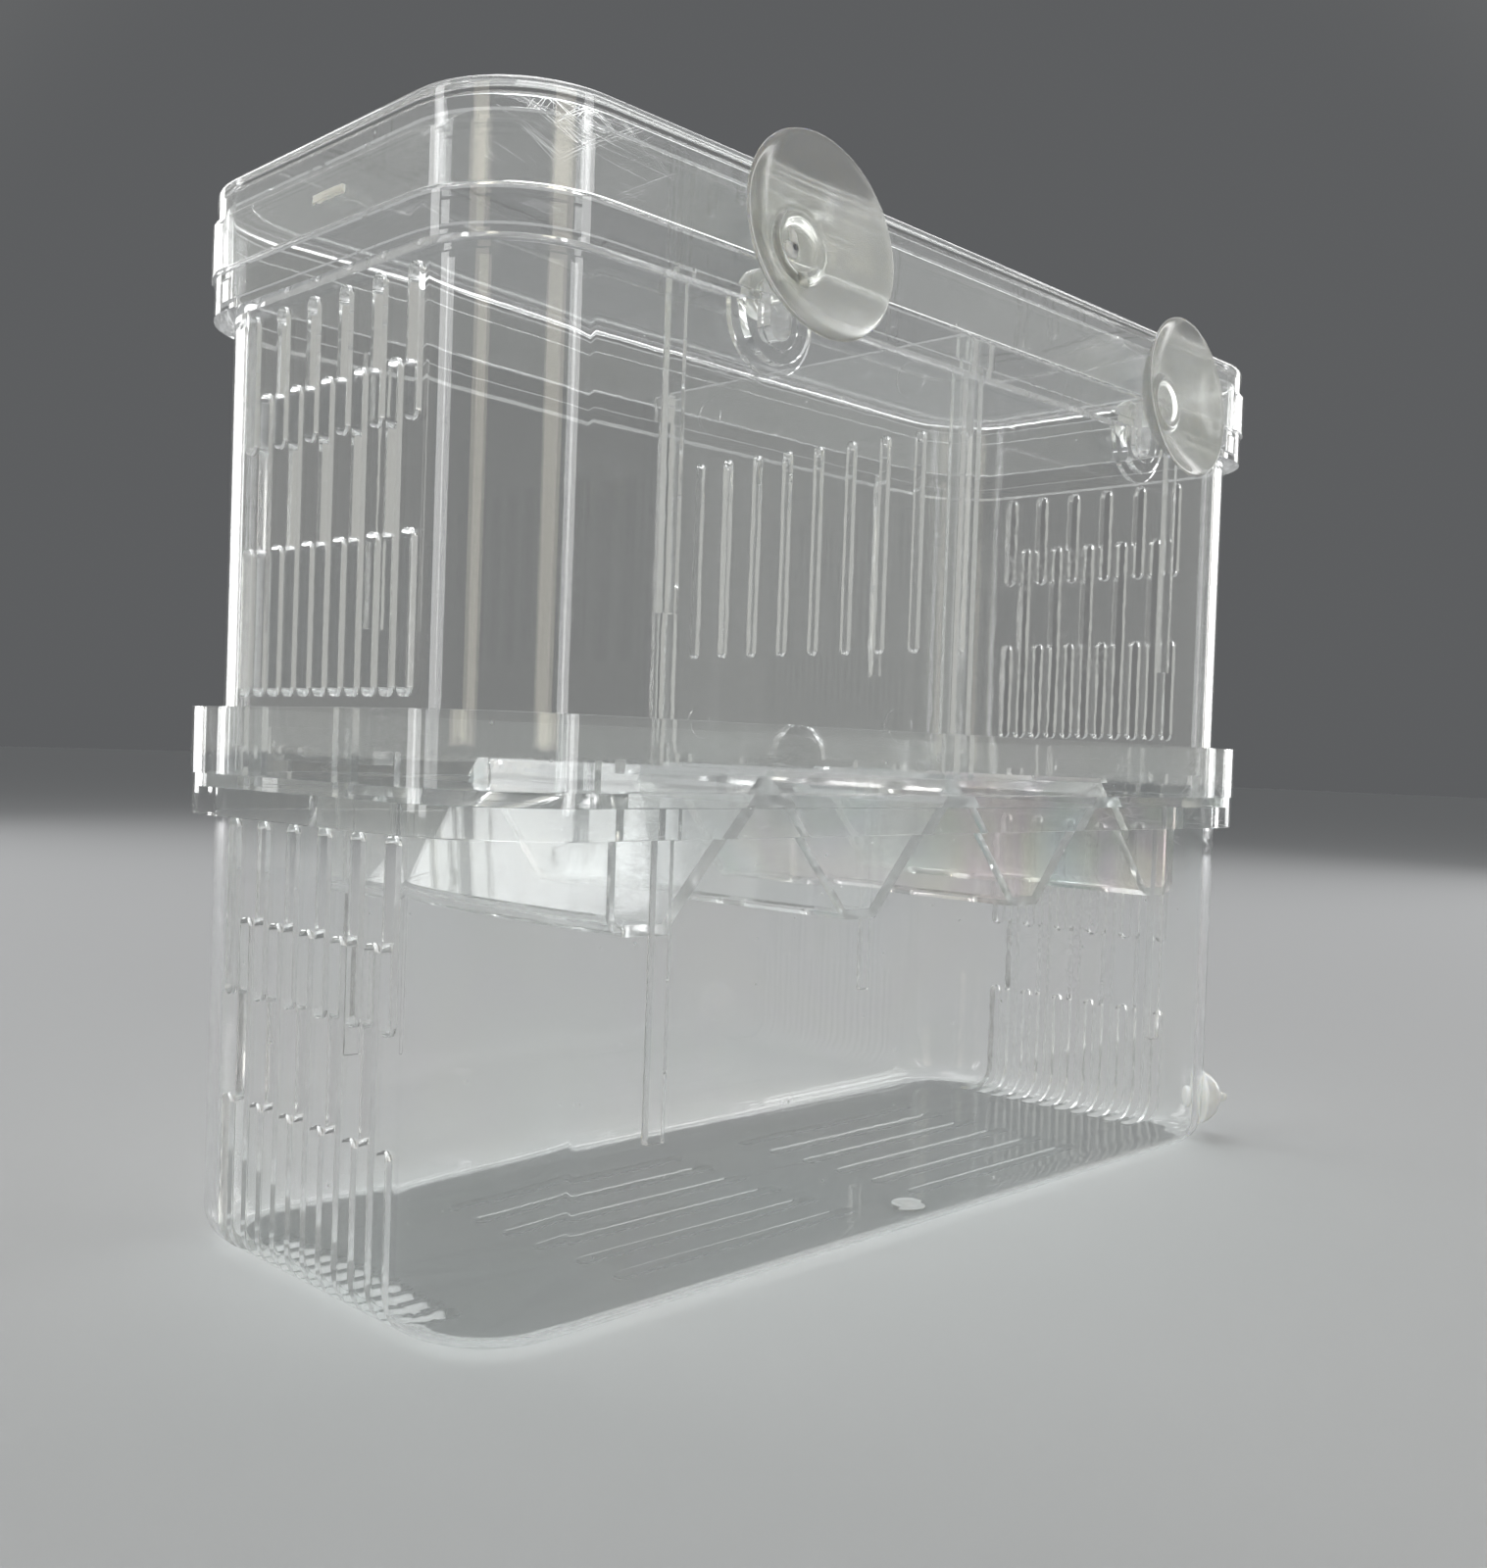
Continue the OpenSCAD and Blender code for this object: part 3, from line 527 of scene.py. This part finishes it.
@dataclass
class Moulding:
    """One clear moulding: the CAD node's form, welded, with its edges broken as the mould leaves them.

    Flat triangles are merged first, except on the tray: the bevel would fold the wide faces round its
    openings.
    """

    node: str
    body: str
    finish: ClearStyrene
    edge: float = 0.22
    steps: int = 2
    crease: float = 32.0
    merge: bool = True
    weld: float = 2e-6
    flat: float = 0.4

    def shell(self) -> bpy.types.Object:
        """Welds a copy of the node and rounds its sharp edges.

        Returns:
            The new object.
        """
        source = frame["nodes"][self.node]
        piece = bpy.data.objects.new(self.node + "_shell", source.data.copy())
        bpy.context.scene.collection.objects.link(piece)
        edit(piece)
        bpy.ops.mesh.customdata_custom_splitnormals_clear()
        bpy.ops.mesh.remove_doubles(threshold=self.weld)
        if self.merge:
            bpy.ops.mesh.dissolve_limited(angle_limit=math.radians(self.flat))
            bpy.ops.mesh.select_all(action="SELECT")
        bpy.ops.mesh.normals_make_consistent(inside=False)
        leave()
        finish_with(piece, "BEVEL", width=self.edge * MM, segments=self.steps, limit_method="ANGLE",
                    angle_limit=math.radians(self.crease), use_clamp_overlap=True, miter_outer="MITER_ARC")
        only(piece)
        bpy.ops.object.shade_smooth_by_angle(angle=math.radians(self.crease))
        finish_with(piece, "WEIGHTED_NORMAL", mode="FACE_AREA", weight=90, keep_sharp=True)
        return piece

    def build(self) -> bpy.types.Object:
        """Builds and dresses the moulding.

        Returns:
            The finished piece, which stands for its CAD node.
        """
        piece = dress(self.shell(), self.finish.material(), self.body)
        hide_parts(self.node)
        return piece


# ---------------------------------------------------------------- the suction cups


@dataclass
class SuctionCup:
    """A soft cup on its neck. Sizes are in millimetres and repeat the part's own."""

    side: str
    neck_x: float
    rise: float
    turn: float
    tilt: float
    finish: MilkyVinyl
    neck_z: float = 142.8
    hub_side: float = 0.9
    hub_y: float = -43.05
    radius: float = 14.5
    depth: float = 7.0
    hub_t: float = 2.0
    lip_t: float = 0.6
    ring_h: float = 1.0
    neck_r: float = 1.7
    knob_r: float = 3.6
    knob_t: float = 2.6
    wall_in: float = 36.5

    def place(self) -> Matrix:
        """The bell's frame: origin at its back, +Z out of its mouth.

        Returns:
            The matrix from the bell's own frame to the row frame.
        """
        aside = Matrix.Rotation(math.radians(-self.turn), 4, "Z")
        turn = aside @ Matrix.Rotation(math.radians(90 - self.tilt), 4, "X")
        hub = Vector((self.neck_x - self.hub_side, self.hub_y, self.neck_z + self.rise)) * MM
        return Matrix.Translation(hub) @ turn

    def bell_profile(self) -> list[tuple[float, float]]:
        """The bell's section, from the axis at its back round the lip to the axis in its mouth.

        Returns:
            Distances from the axis and heights over the back.
        """
        back = (self.radius ** 2 + self.depth ** 2) / (2 * self.depth)
        mouth = self.radius - self.lip_t
        sag = self.depth - self.hub_t
        front = (mouth ** 2 + sag ** 2) / (2 * sag)
        outside = [(r, back - math.sqrt(back ** 2 - r ** 2)) for r in
                   (0.0, 1.4, 2.8, 4.2, 5.6, 7.0, 8.4, 9.8, 11.2, 12.4, 13.4, 14.1)]
        lip = [(self.radius - 0.12, self.depth - 0.34), (self.radius, self.depth - 0.2),
               (self.radius - 0.02, self.depth - 0.06), (self.radius - 0.12, self.depth),
               (self.radius - 0.42, self.depth - 0.02)]
        inside = [(r, self.hub_t + front - math.sqrt(front ** 2 - r ** 2)) for r in
                  (13.6, 12.8, 11.6, 10.2, 8.8, 7.4, 6.3)]
        top = self.hub_t + self.ring_h
        ring = [(5.5, self.hub_t + 0.42), (5.05, self.hub_t + 0.66), (4.75, top - 0.1), (4.4, top),
                (4.0, top - 0.06), (3.7, top - 0.3)]
        dimple = [(r, self.hub_t + z) for r, z in
                  ((3.5, 0.3), (3.2, 0.05), (2.4, -0.1), (1.2, -0.16), (0.0, -0.18))]
        return outside + lip + inside + ring + dimple

    def neck_profile(self) -> list[tuple[float, float]]:
        """The section of the neck and its knob, from the knob's inner face out to the bell.

        Returns:
            Distances from the axis and distances out from the wall's inner face.
        """
        out = -self.hub_y - self.wall_in + 1.2 + self.rise * math.sin(math.radians(self.tilt)) + 0.3
        n, k, t = self.neck_r, self.knob_r, self.knob_t
        knob = [(0, -t), (k * 0.6, -t), (k - 0.3, -t + 0.12), (k, -t + 0.5), (k, -0.45), (k - 0.3, -0.1),
                (k * 0.7, 0)]
        return knob + [(n + 0.2, 0), (n, 0.2), (n, out * 0.5), (n, out), (0, out)]

    def build(self) -> list[bpy.types.Object]:
        """Builds and dresses the bell and its neck.

        Returns:
            The bell, then the neck.
        """
        material = self.finish.material()
        body = "cup_" + self.side
        bell = turned(self.bell_profile(), "cup_bell_" + self.side, 96)
        rounded(bell)
        settle(bell, self.place())
        neck = turned(self.neck_profile(), "cup_neck_" + self.side, 40)
        rounded(neck)
        start = Vector((self.neck_x, -self.wall_in, self.neck_z)) * MM
        settle(neck, Matrix.Translation(start) @ Matrix.Rotation(math.radians(90), 4, "X"))
        for piece in (bell, neck):
            dress(piece, material, body)
        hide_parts("suction_cup_" + self.side)
        return [bell, neck]


# ---------------------------------------------------------------- the corner plug


@dataclass
class CornerPlug:
    """The soft button low on the corner, with its nipple and the knob behind it. Sizes are in millimetres."""

    finish: MilkyVinyl
    corner_x: float = 97.7 - 16.5
    corner_y: float = -39.7 + 16.5
    corner_r: float = 16.5
    height: float = 8.6
    radius: float = 5.7
    out: float = 4.5

    def place(self) -> Matrix:
        """The plug's frame: origin on the wall's outer face, +Z out along the corner's diagonal.

        Returns:
            The matrix from the plug's own frame to the row frame.
        """
        side = Vector((1, -1, 0)).normalized()
        start = Vector((self.corner_x, self.corner_y, self.height)) * MM + side * self.corner_r * MM
        return Matrix.Translation(start) @ side.to_track_quat("Z", "Y").to_matrix().to_4x4()

    def build(self) -> bpy.types.Object:
        """Builds and dresses the plug.

        Returns:
            The finished piece, which stands for its CAD node.
        """
        r, h = self.radius, self.out
        dome = (r * r + h * h) / (2 * h)
        arc = [(x, h - dome + math.sqrt(dome * dome - x * x)) for x in (5.4, 5.0, 4.4, 3.6, 2.7, 1.9)]
        knob = [(0, -4.2), (1.9, -4.2), (2.3, -4.0), (2.3, -3.2), (1.6, -2.9), (1.6, -0.1)]
        rim = [(2.2, 0.1), (5.2, 0.0), (5.65, 0.15), (5.7, 0.5)]
        nipple = [(1.2, h + 0.02), (0.9, h + 0.5), (0.85, h + 1.0), (0.5, h + 1.42), (0, h + 1.5)]
        piece = turned(knob + rim + arc + nipple, "corner_plug_button", 64)
        rounded(piece)
        settle(piece, self.place())
        dress(piece, self.finish.material(), "lower_box")
        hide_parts("corner_plug")
        return piece


# ---------------------------------------------------------------- torn and moulded marks


@dataclass
class TornGate:
    """What the gate left on the lid's end wall: a torn strip along the step. Sizes are in millimetres."""

    finish: MilkyVinyl
    middle: Place = (-100.38, -5.4, 150.1)
    size: Place = (0.7, 7.6, 1.0)
    cuts: int = 9
    teeth: float = 9.0
    tear: float = 0.22
    hang: float = 3.0
    proud: float = 0.25
    flare: float = 1.6

    def build(self) -> bpy.types.Object:
        """Builds and dresses the strip.

        Returns:
            The finished piece.
        """
        bpy.ops.object.select_all(action="DESELECT")
        bpy.ops.mesh.primitive_cube_add(size=1.0, location=Vector(self.middle) * MM,
                                        scale=Vector(self.size) * MM)
        piece = bpy.context.object
        piece.name = piece.data.name = "lid_gate_mark"
        bpy.ops.object.transform_apply(location=True, rotation=True, scale=True)
        edit(piece, "EDGE")
        bpy.ops.mesh.subdivide(number_cuts=self.cuts)
        leave()
        x0, y0, z0 = (value * MM for value in self.middle)
        for vertex in piece.data.vertices:
            along = (vertex.co.y - y0) / (self.size[1] * MM)
            low = 0.5 - (vertex.co.z - z0) / (self.size[2] * MM)
            out = 0.5 - (vertex.co.x - x0) / (self.size[0] * MM)
            tooth = noise.noise((along * self.teeth, low * 2.0, out * 2.0))
            vertex.co.z += (tooth * low - 0.5 * along * along * (low - 0.5)) * self.tear * self.hang * MM
            vertex.co.x += out * (self.proud + abs(tooth) + self.flare * along * along) * self.tear * MM
        rounded(piece)
        return dress(piece, self.finish.material(), "lid")


@dataclass
class HubFlakes:
    """Torn flakes of vinyl in a cup's dimple, from the gate at its hub.

    Each flake has its place and half sizes in the bell's frame, in millimetres, and its turn in degrees.
    """

    cup: SuctionCup
    finish: MilkyVinyl
    flakes: Sequence[tuple[Place, Place, float]] = (
        ((-0.9, 0.8, 2.2), (0.6, 1.6, 0.36), 18.0),
        ((-1.8, -0.9, 2.25), (1.35, 1.05, 0.4), -25.0),
        ((-1.0, -0.5, 2.2), (0.8, 0.8, 0.34), 60.0),
    )
    rough: float = 0.3
    grain: float = 2.2
    apart: float = 3.1

    def build(self) -> bpy.types.Object:
        """Builds and dresses the flakes as one piece.

        Returns:
            The finished piece.
        """
        made = []
        for index, (spot, size, turn) in enumerate(self.flakes):
            bpy.ops.object.select_all(action="DESELECT")
            bpy.ops.mesh.primitive_ico_sphere_add(subdivisions=4, radius=MM)
            flake = bpy.context.object
            for vertex in flake.data.vertices:
                way = vertex.co.normalized() * self.grain + Vector((index * self.apart, 0.0, 0.0))
                vertex.co *= 1.0 + self.rough * noise.noise(way)
            middle = Matrix.Translation(Vector(spot) * MM)
            aside = Matrix.Rotation(math.radians(turn), 4, "Z")
            flake.data.transform(middle @ aside @ Matrix.Diagonal((*size, 1.0)))
            made.append(flake)
        for flake in made:
            flake.select_set(True)
        bpy.context.view_layer.objects.active = made[0]
        bpy.ops.object.join()
        piece = bpy.context.object
        piece.name = piece.data.name = "cup_flakes_" + self.cup.side
        settle(piece, self.cup.place())
        only(piece)
        bpy.ops.object.shade_smooth()
        return dress(piece, self.finish.material(), "cup_" + self.cup.side)


@dataclass
class FloorMark:
    """The frosted mark of a mould pin on the lower box's floor, between its two groups of slots."""

    finish: MilkyVinyl
    spot: Place = (1.5, -28.6, 1.41)

    def build(self) -> bpy.types.Object:
        """Builds and dresses the mark.

        Returns:
            The finished piece.
        """
        profile = [(0, 0), (2.7, 0), (2.95, 0.06), (2.9, 0.25), (2.6, 0.4), (2.1, 0.34), (1.8, 0.2),
                   (1.1, 0.25), (0.6, 0.4), (0, 0.45)]
        piece = turned(profile, "floor_pin_mark", 48)
        rounded(piece)
        settle(piece, Matrix.Translation(Vector(self.spot) * MM))
        return dress(piece, self.finish.material(), "lower_box")


# ---------------------------------------------------------------- camera and studio


@dataclass(frozen=True)
class ViewCamera:
    """The camera at the photograph's place and angle, in the row frame."""

    place: Place = (-207.017, -191.307, 77.822)
    right: Place = (0.70045318, -0.71284045, 0.03498331)
    down: Place = (0.0096083, -0.03959384, -0.99916966)
    focal_px: float = 1569.54
    tall_px: float = 1600.0
    sensor: float = 36.0

    def build(self) -> bpy.types.Object:
        """Makes the scene's camera.

        Returns:
            The camera object.
        """
        data = bpy.data.cameras.new("view_camera")
        data.sensor_fit = "AUTO"
        data.sensor_width = self.sensor
        data.lens = self.focal_px * self.sensor / self.tall_px
        data.clip_start, data.clip_end = 0.01, 20.0
        right, up = Vector(self.right), -Vector(self.down)
        turn = Matrix((right, up, right.cross(up))).transposed().to_4x4()
        camera = bpy.data.objects.new("view_camera", data)
        bpy.context.scene.collection.objects.link(camera)
        camera.matrix_world = Matrix.Translation(Vector(self.place) * MM) @ turn
        bpy.context.scene.camera = camera
        return camera


@dataclass(frozen=True)
class Lamp:
    """A soft rectangular lamp that looks at the object's middle. Sizes are in metres."""

    name: str
    spot: Place
    wide: float
    tall: float
    watts: float
    colour: Colour = (1.0, 1.0, 1.0)
    aim: Place = (0.0, 0.0, 0.08)

    def build(self) -> bpy.types.Object:
        """Makes the lamp.

        Returns:
            The lamp object.
        """
        data = bpy.data.lights.new(self.name, "AREA")
        data.shape = "RECTANGLE"
        data.size, data.size_y, data.energy = self.wide, self.tall, self.watts
        data.color = self.colour
        lamp = bpy.data.objects.new(self.name, data)
        lamp.visible_camera = False
        bpy.context.scene.collection.objects.link(lamp)
        look = Vector(self.aim) - Vector(self.spot)
        lamp.matrix_world = Matrix.Translation(self.spot) @ look.to_track_quat("-Z", "Y").to_matrix().to_4x4()
        return lamp


@dataclass
class Studio:
    """A plain pale floor and a grey backdrop, lighter beside and behind the camera, under soft lamps.

    The dome begins and ends at a direction's height. The room's light begins and ends at the cosine of a
    direction to straight ahead, which is given in degrees from +X.
    """

    floor: Colour = (0.45, 0.455, 0.46)
    backdrop: Colour = (0.11, 0.113, 0.117)
    room: Colour = (0.42, 0.42, 0.4)
    dome: Colour = (0.72, 0.73, 0.74)
    ambient: Colour = (0.18, 0.185, 0.19)
    dome_from: float = 0.47
    dome_to: float = 0.7
    ahead: float = 44.5
    room_from: float = 0.87
    room_to: float = 0.55
    lamps: Sequence[Lamp] = (
        Lamp("top_lamp", (0.15, 0.25, 1.0), 0.4, 0.9, 3.0),
        Lamp("left_lamp", (-0.85, 0.35, 0.4), 0.14, 0.8, 1.6),
        Lamp("right_lamp", (0.2, -0.95, 0.4), 0.14, 0.8, 1.6),
        Lamp("far_left_lamp", (-0.15, 1.05, 0.45), 0.3, 0.9, 2.6),
        Lamp("far_right_lamp", (1.05, -0.1, 0.45), 0.3, 0.9, 2.6),
        Lamp("warm_left_lamp", (-1.0, -0.25, 0.45), 0.22, 0.8, 1.0, (1.0, 0.93, 0.76)),
        Lamp("warm_right_lamp", (-0.15, -1.0, 0.45), 0.3, 0.8, 1.3, (1.0, 0.93, 0.76)),
        Lamp("back_lamp", (0.75, 0.6, 0.75), 0.7, 0.25, 1.6),
    )

    def plain(self, name: str, colour: Colour) -> bpy.types.Material:
        """A matt material for the stage.

        Args:
            name: The material's name.
            colour: Its colour.

        Returns:
            The material.
        """
        mat = bpy.data.materials.new(name)
        mat.use_nodes = True
        body = mat.node_tree.nodes["Principled BSDF"]
        body.inputs["Base Color"].default_value = (*colour, 1.0)
        body.inputs["Roughness"].default_value = 0.8
        return mat

    def build(self) -> None:
        """Makes the floor, the backdrop, the lamps and the world."""
        bpy.ops.object.select_all(action="DESELECT")
        bpy.ops.mesh.primitive_plane_add(size=12, location=(0, 0, 0))
        floor = bpy.context.object
        floor.name = "floor"
        floor.data.materials.append(self.plain("floor_grey", self.floor))
        for lamp in self.lamps:
            lamp.build()
        world = bpy.data.worlds.new("studio")
        bpy.context.scene.world = world
        world.use_nodes = True
        sheet = Sheet(world.node_tree)
        parts = sheet.add("SeparateXYZ", Vector=sheet.add("TexCoord").outputs["Generated"])
        turn = math.radians(self.ahead)
        east = sheet.sum("MULTIPLY", parts.outputs["X"], math.cos(turn))
        facing = sheet.sum("MULTIPLY_ADD", parts.outputs["Y"], math.sin(turn), east)
        tone = None
        for share, colour in ((sheet.band(facing, self.room_from, self.room_to), self.room),
                              (sheet.band(parts.outputs["Z"], self.dome_from, self.dome_to), self.dome)):
            blend = sheet.add("Mix", data_type="RGBA", blend_type="MIX")
            sheet.join(share, blend.inputs[0])
            if tone is None:
                blend.inputs[6].default_value = (*self.backdrop, 1.0)
            else:
                sheet.join(tone, blend.inputs[6])
            blend.inputs[7].default_value = (*colour, 1.0)
            tone = blend.outputs[2]
        sky = sheet.add("Background", Color=tone, Strength=1.0)
        fill = sheet.add("Background", Color=(*self.ambient, 1.0), Strength=1.0)
        path = sheet.add("LightPath")
        through = sheet.sum("MAXIMUM", path.outputs["Is Glossy Ray"], path.outputs["Is Transmission Ray"])
        mix = sheet.add("MixShader")
        sheet.join(sheet.sum("MAXIMUM", path.outputs["Is Camera Ray"], through), mix.inputs[0])
        sheet.join(fill.outputs[0], mix.inputs[1])
        sheet.join(sky.outputs[0], mix.inputs[2])
        out = sheet.add("OutputWorld")
        sheet.join(mix.outputs[0], out.inputs["Surface"])


@dataclass
class Rays:
    """How deep light is followed, so that it gets through every clear wall."""

    deep: int = 48

    def build(self) -> None:
        """Sets the view transform and the bounces."""
        scene = bpy.context.scene
        scene.view_settings.view_transform = "Standard"
        for name in ("max_bounces", "glossy_bounces", "transmission_bounces", "transparent_max_bounces"):
            setattr(scene.cycles, name, self.deep)


# ---------------------------------------------------------------- the whole object


class BreedingBox:
    """The whole object, one sub-assembly after another."""

    def __init__(self) -> None:
        """Sets out the sub-assemblies."""
        self.mouldings = [
            Moulding("lid", "lid", ClearStyrene("lid_styrene", seed=1.0, wear=Wear.HANDLED)),
            Moulding("upper_box", "upper_box", ClearStyrene("upper_styrene", seed=2.0, wear=Wear.LIGHT)),
            Moulding("divider", "divider", ClearStyrene("divider_styrene", seed=3.0, wear=Wear.LIGHT)),
            Moulding("v_tray", "v_tray", ClearStyrene("tray_styrene", seed=4.0, stress=0.1, stress_from=0.0),
                     merge=False),
            Moulding("lower_box", "lower_box", ClearStyrene("lower_styrene", seed=5.0, stress=0.01)),
        ]
        self.cups = [
            SuctionCup("left", -50, 4.6, 1.5, 7.2, MilkyVinyl("left_cup_vinyl", seed=1.0)),
            SuctionCup("right", 50, 1.8, -2.0, 5.2, MilkyVinyl("right_cup_vinyl", seed=2.0)),
        ]
        self.plug = CornerPlug(MilkyVinyl("plug_vinyl", seed=3.0, clear=0.25))
        self.marks = [
            TornGate(MilkyVinyl("torn_styrene", (0.93, 0.9, 0.82), clear=0.35, rough=0.42, seed=4.0)),
            HubFlakes(self.cups[0],
                      MilkyVinyl("flake_vinyl", (0.97, 0.95, 0.88), clear=0.0, rough=0.5, seed=5.0)),
            FloorMark(MilkyVinyl("pin_mark_styrene", (0.92, 0.92, 0.9), clear=0.65, rough=0.35, seed=6.0)),
        ]

    def build(self) -> None:
        """Builds every piece and reports each."""
        for moulding in self.mouldings:
            self.report(moulding.build())
        for cup in self.cups:
            for piece in cup.build():
                self.report(piece)
        self.report(self.plug.build())
        for mark in self.marks:
            self.report(mark.build())

    @staticmethod
    def report(piece: bpy.types.Object) -> None:
        """Logs a piece's name and its number of triangles."""
        count = sum(len(face.vertices) - 2 for face in piece.data.polygons)
        LOG.info("%s: %d triangles", piece.name, count)


def main() -> None:
    """Builds the camera, the studio and the box."""
    logging.basicConfig(level=logging.INFO, format="%(name)s %(message)s")
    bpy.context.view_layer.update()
    ViewCamera().build()
    Studio().build()
    Rays().build()
    BreedingBox().build()


if __name__ == "__main__":
    main()
